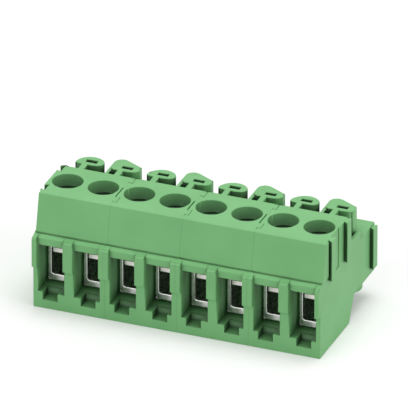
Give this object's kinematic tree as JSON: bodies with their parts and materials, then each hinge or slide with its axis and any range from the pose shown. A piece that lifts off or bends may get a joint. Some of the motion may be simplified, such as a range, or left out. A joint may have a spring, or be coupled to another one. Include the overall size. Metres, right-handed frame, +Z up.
{
  "type": "pluggable terminal block",
  "caption": "Green pluggable terminal block of dovetailed two-way housings, with screw clamps over the wire openings and pin sockets at the rear.",
  "frame": {"origin": "middle of the flat face that the block stands on", "axes": "+X along the row of terminals, +Y from the wire openings to the mating side, +Z up"},
  "size_m": [0.0405, 0.0202, 0.0159],
  "materials": {
    "housing_polyamide": "fine satin moulded polyamide",
    "cage_tinned_steel": "tin plated, bright",
    "screw_zinc_steel": "zinc plated",
    "contact_tinned_copper": "tin plated copper alloy"
  },
  "bodies": {
    "block": {"housing_module_1": "housing_polyamide", "housing_module_2": "housing_polyamide", "housing_module_3": "housing_polyamide", "housing_module_4": "housing_polyamide", "contact_1": "contact_tinned_copper", "contact_2": "contact_tinned_copper", "contact_3": "contact_tinned_copper", "contact_4": "contact_tinned_copper", "contact_5": "contact_tinned_copper", "contact_6": "contact_tinned_copper", "contact_7": "contact_tinned_copper", "contact_8": "contact_tinned_copper"},
    "cage_1": {"clamp_cage_1": "cage_tinned_steel"},
    "screw_1": {"clamp_screw_1": "screw_zinc_steel"},
    "cage_2": {"clamp_cage_2": "cage_tinned_steel"},
    "screw_2": {"clamp_screw_2": "screw_zinc_steel"},
    "cage_3": {"clamp_cage_3": "cage_tinned_steel"},
    "screw_3": {"clamp_screw_3": "screw_zinc_steel"},
    "cage_4": {"clamp_cage_4": "cage_tinned_steel"},
    "screw_4": {"clamp_screw_4": "screw_zinc_steel"},
    "cage_5": {"clamp_cage_5": "cage_tinned_steel"},
    "screw_5": {"clamp_screw_5": "screw_zinc_steel"},
    "cage_6": {"clamp_cage_6": "cage_tinned_steel"},
    "screw_6": {"clamp_screw_6": "screw_zinc_steel"},
    "cage_7": {"clamp_cage_7": "cage_tinned_steel"},
    "screw_7": {"clamp_screw_7": "screw_zinc_steel"},
    "cage_8": {"clamp_cage_8": "cage_tinned_steel"},
    "screw_8": {"clamp_screw_8": "screw_zinc_steel"}
  },
  "joints": [
    {"name": "cage_1_lift", "type": "slide", "parent": "block", "child": "cage_1", "axis": [0, 0, 1], "range_m": [0, 0.0029]},
    {"name": "screw_1_turn", "type": "hinge", "parent": "block", "child": "screw_1", "pos_m": [-0.0175, 0.0007, 0.0135], "axis": [0, 0, -1], "range_deg": [0, 2610]},
    {"name": "cage_2_lift", "type": "slide", "parent": "block", "child": "cage_2", "axis": [0, 0, 1], "range_m": [0, 0.0029]},
    {"name": "screw_2_turn", "type": "hinge", "parent": "block", "child": "screw_2", "pos_m": [-0.0125, 0.0007, 0.0135], "axis": [0, 0, -1], "range_deg": [0, 2610]},
    {"name": "cage_3_lift", "type": "slide", "parent": "block", "child": "cage_3", "axis": [0, 0, 1], "range_m": [0, 0.0029]},
    {"name": "screw_3_turn", "type": "hinge", "parent": "block", "child": "screw_3", "pos_m": [-0.0075, 0.0007, 0.0135], "axis": [0, 0, -1], "range_deg": [0, 2610]},
    {"name": "cage_4_lift", "type": "slide", "parent": "block", "child": "cage_4", "axis": [0, 0, 1], "range_m": [0, 0.0029]},
    {"name": "screw_4_turn", "type": "hinge", "parent": "block", "child": "screw_4", "pos_m": [-0.0025, 0.0007, 0.0135], "axis": [0, 0, -1], "range_deg": [0, 2610]},
    {"name": "cage_5_lift", "type": "slide", "parent": "block", "child": "cage_5", "axis": [0, 0, 1], "range_m": [0, 0.0029]},
    {"name": "screw_5_turn", "type": "hinge", "parent": "block", "child": "screw_5", "pos_m": [0.0025, 0.0007, 0.0135], "axis": [0, 0, -1], "range_deg": [0, 2610]},
    {"name": "cage_6_lift", "type": "slide", "parent": "block", "child": "cage_6", "axis": [0, 0, 1], "range_m": [0, 0.0029]},
    {"name": "screw_6_turn", "type": "hinge", "parent": "block", "child": "screw_6", "pos_m": [0.0075, 0.0007, 0.0135], "axis": [0, 0, -1], "range_deg": [0, 2610]},
    {"name": "cage_7_lift", "type": "slide", "parent": "block", "child": "cage_7", "axis": [0, 0, 1], "range_m": [0, 0.0029]},
    {"name": "screw_7_turn", "type": "hinge", "parent": "block", "child": "screw_7", "pos_m": [0.0125, 0.0007, 0.0135], "axis": [0, 0, -1], "range_deg": [0, 2610]},
    {"name": "cage_8_lift", "type": "slide", "parent": "block", "child": "cage_8", "axis": [0, 0, 1], "range_m": [0, 0.0029]},
    {"name": "screw_8_turn", "type": "hinge", "parent": "block", "child": "screw_8", "pos_m": [0.0175, 0.0007, 0.0135], "axis": [0, 0, -1], "range_deg": [0, 2610]}
  ],
  "couplings": [
    {"joint": "screw_1_turn", "follows": "cage_1_lift", "rad_per_m": 15708},
    {"joint": "screw_2_turn", "follows": "cage_2_lift", "rad_per_m": 15708},
    {"joint": "screw_3_turn", "follows": "cage_3_lift", "rad_per_m": 15708},
    {"joint": "screw_4_turn", "follows": "cage_4_lift", "rad_per_m": 15708},
    {"joint": "screw_5_turn", "follows": "cage_5_lift", "rad_per_m": 15708},
    {"joint": "screw_6_turn", "follows": "cage_6_lift", "rad_per_m": 15708},
    {"joint": "screw_7_turn", "follows": "cage_7_lift", "rad_per_m": 15708},
    {"joint": "screw_8_turn", "follows": "cage_8_lift", "rad_per_m": 15708}
  ]
}
